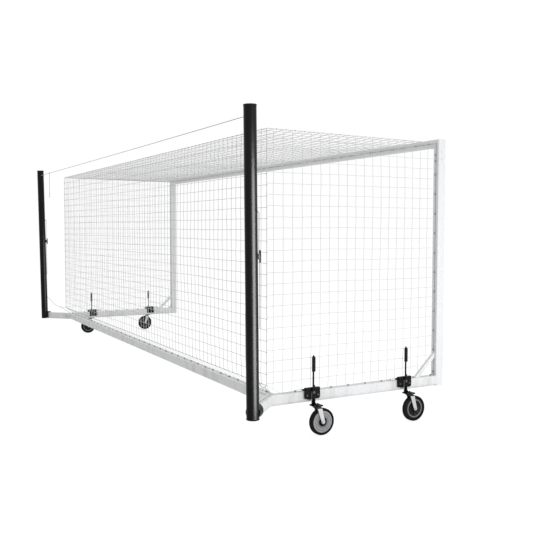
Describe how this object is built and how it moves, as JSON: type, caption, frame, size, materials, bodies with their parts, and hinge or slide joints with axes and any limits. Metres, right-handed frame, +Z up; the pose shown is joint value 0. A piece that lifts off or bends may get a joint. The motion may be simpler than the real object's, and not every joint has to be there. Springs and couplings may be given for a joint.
{
  "type": "portable box football goal",
  "caption": "Full-size portable box goal: white aluminium frame with net, black rear net posts with ropes, and lever-operated castor wheels.",
  "frame": {"origin": "centre of the ground area the object stands on, at the wheels' contact with the ground", "axes": "+X along the crossbar to the goal's right, +Y from the mouth to the rear posts, +Z up; the mouth faces -Y"},
  "size_m": [8.254, 2.4818, 2.9259],
  "materials": {
    "white_frame": "satin powder coat",
    "bare_aluminium": "mill finish",
    "black_posts": "satin powder coat",
    "black_plastic": "matte",
    "black_steel": "satin",
    "zinc_steel": "zinc plated",
    "rope": "braided polyester",
    "net_cord": "braided white net",
    "clip_plastic": "moulded",
    "grip_plastic": "matte",
    "lever_steel": "satin",
    "fork_steel": "zinc plated",
    "hub_plastic": "moulded",
    "tyre_rubber": "matte"
  },
  "bodies": {
    "root": {"goalpost_left": "white_frame", "goalpost_right": "white_frame", "crossbar": "white_frame", "corner_inserts": "bare_aluminium", "side_rail_left": "white_frame", "side_rail_right": "white_frame", "rear_ground_bar": "white_frame", "corner_gussets": "white_frame", "corner_braces": "white_frame", "rear_post_left": "black_posts", "rear_post_right": "black_posts", "rope_guides": "black_plastic", "post_plugs": "black_plastic", "cleats": "black_plastic", "post_sockets": "black_posts", "cross_rope": "rope", "halyard_left": "rope", "halyard_right": "rope", "corner_cord_left": "rope", "corner_cord_right": "rope", "inner_ropes": "rope", "drop_cord": "rope", "snap_hook": "zinc_steel", "net_rear": "net_cord", "net_top": "net_cord", "net_left": "net_cord", "net_right": "net_cord", "net_border_cord": "net_cord", "net_clips": "clip_plastic", "frame_bolts": "zinc_steel", "wheel_brackets": "black_steel", "pivot_pins": "zinc_steel"},
    "lever_arm_left_front": {"lever_left_front": "lever_steel", "grip_left_front": "grip_plastic"},
    "lock_left_front": {"lock_plunger_left_front": "zinc_steel"},
    "castor_left_front": {"castor_fork_left_front": "fork_steel", "axle_left_front": "zinc_steel"},
    "wheel_left_front": {"wheel_hub_left_front": "hub_plastic", "tyre_left_front": "tyre_rubber"},
    "lever_arm_left_rear": {"lever_left_rear": "lever_steel", "grip_left_rear": "grip_plastic"},
    "lock_left_rear": {"lock_plunger_left_rear": "zinc_steel"},
    "castor_left_rear": {"castor_fork_left_rear": "fork_steel", "axle_left_rear": "zinc_steel"},
    "wheel_left_rear": {"wheel_hub_left_rear": "hub_plastic", "tyre_left_rear": "tyre_rubber"},
    "lever_arm_right_front": {"lever_right_front": "lever_steel", "grip_right_front": "grip_plastic"},
    "lock_right_front": {"lock_plunger_right_front": "zinc_steel"},
    "castor_right_front": {"castor_fork_right_front": "fork_steel", "axle_right_front": "zinc_steel"},
    "wheel_right_front": {"wheel_hub_right_front": "hub_plastic", "tyre_right_front": "tyre_rubber"},
    "lever_arm_right_rear": {"lever_right_rear": "lever_steel", "grip_right_rear": "grip_plastic"},
    "lock_right_rear": {"lock_plunger_right_rear": "zinc_steel"},
    "castor_right_rear": {"castor_fork_right_rear": "fork_steel", "axle_right_rear": "zinc_steel"},
    "wheel_right_rear": {"wheel_hub_right_rear": "hub_plastic", "tyre_right_rear": "tyre_rubber"}
  },
  "joints": [
    {"name": "lever_swing_left_front", "type": "hinge", "parent": "root", "child": "lever_arm_left_front", "pos_m": [-3.775, -0.711, 0.39], "axis": [-1, 0, 0], "range_deg": [-90, 0]},
    {"name": "plunger_pull_left_front", "type": "slide", "parent": "root", "child": "lock_left_front", "axis": [0, 1, 0], "range_m": [-0.012, 0.003]},
    {"name": "castor_swivel_left_front", "type": "hinge", "parent": "lever_arm_left_front", "child": "castor_left_front", "pos_m": [-3.84, -0.711, 0.26], "axis": [0, 0, -1], "continuous": true},
    {"name": "wheel_spin_left_front", "type": "hinge", "parent": "castor_left_front", "child": "wheel_left_front", "pos_m": [-3.84, -0.761, 0.125], "axis": [-1, 0, 0], "continuous": true},
    {"name": "lever_swing_left_rear", "type": "hinge", "parent": "root", "child": "lever_arm_left_rear", "pos_m": [-3.775, 0.371, 0.39], "axis": [-1, 0, 0], "range_deg": [-90, 0]},
    {"name": "plunger_pull_left_rear", "type": "slide", "parent": "root", "child": "lock_left_rear", "axis": [0, 1, 0], "range_m": [-0.012, 0.003]},
    {"name": "castor_swivel_left_rear", "type": "hinge", "parent": "lever_arm_left_rear", "child": "castor_left_rear", "pos_m": [-3.84, 0.371, 0.26], "axis": [0, 0, -1], "continuous": true},
    {"name": "wheel_spin_left_rear", "type": "hinge", "parent": "castor_left_rear", "child": "wheel_left_rear", "pos_m": [-3.84, 0.321, 0.125], "axis": [-1, 0, 0], "continuous": true},
    {"name": "lever_swing_right_front", "type": "hinge", "parent": "root", "child": "lever_arm_right_front", "pos_m": [3.775, -0.711, 0.39], "axis": [1, 0, 0], "range_deg": [-90, 0]},
    {"name": "plunger_pull_right_front", "type": "slide", "parent": "root", "child": "lock_right_front", "axis": [0, -1, 0], "range_m": [-0.012, 0.003]},
    {"name": "castor_swivel_right_front", "type": "hinge", "parent": "lever_arm_right_front", "child": "castor_right_front", "pos_m": [3.84, -0.711, 0.26], "axis": [0, 0, -1], "continuous": true},
    {"name": "wheel_spin_right_front", "type": "hinge", "parent": "castor_right_front", "child": "wheel_right_front", "pos_m": [3.84, -0.661, 0.125], "axis": [1, 0, 0], "continuous": true},
    {"name": "lever_swing_right_rear", "type": "hinge", "parent": "root", "child": "lever_arm_right_rear", "pos_m": [3.775, 0.371, 0.39], "axis": [1, 0, 0], "range_deg": [-90, 0]},
    {"name": "plunger_pull_right_rear", "type": "slide", "parent": "root", "child": "lock_right_rear", "axis": [0, -1, 0], "range_m": [-0.012, 0.003]},
    {"name": "castor_swivel_right_rear", "type": "hinge", "parent": "lever_arm_right_rear", "child": "castor_right_rear", "pos_m": [3.84, 0.371, 0.26], "axis": [0, 0, -1], "continuous": true},
    {"name": "wheel_spin_right_rear", "type": "hinge", "parent": "castor_right_rear", "child": "wheel_right_rear", "pos_m": [3.84, 0.421, 0.125], "axis": [1, 0, 0], "continuous": true}
  ]
}
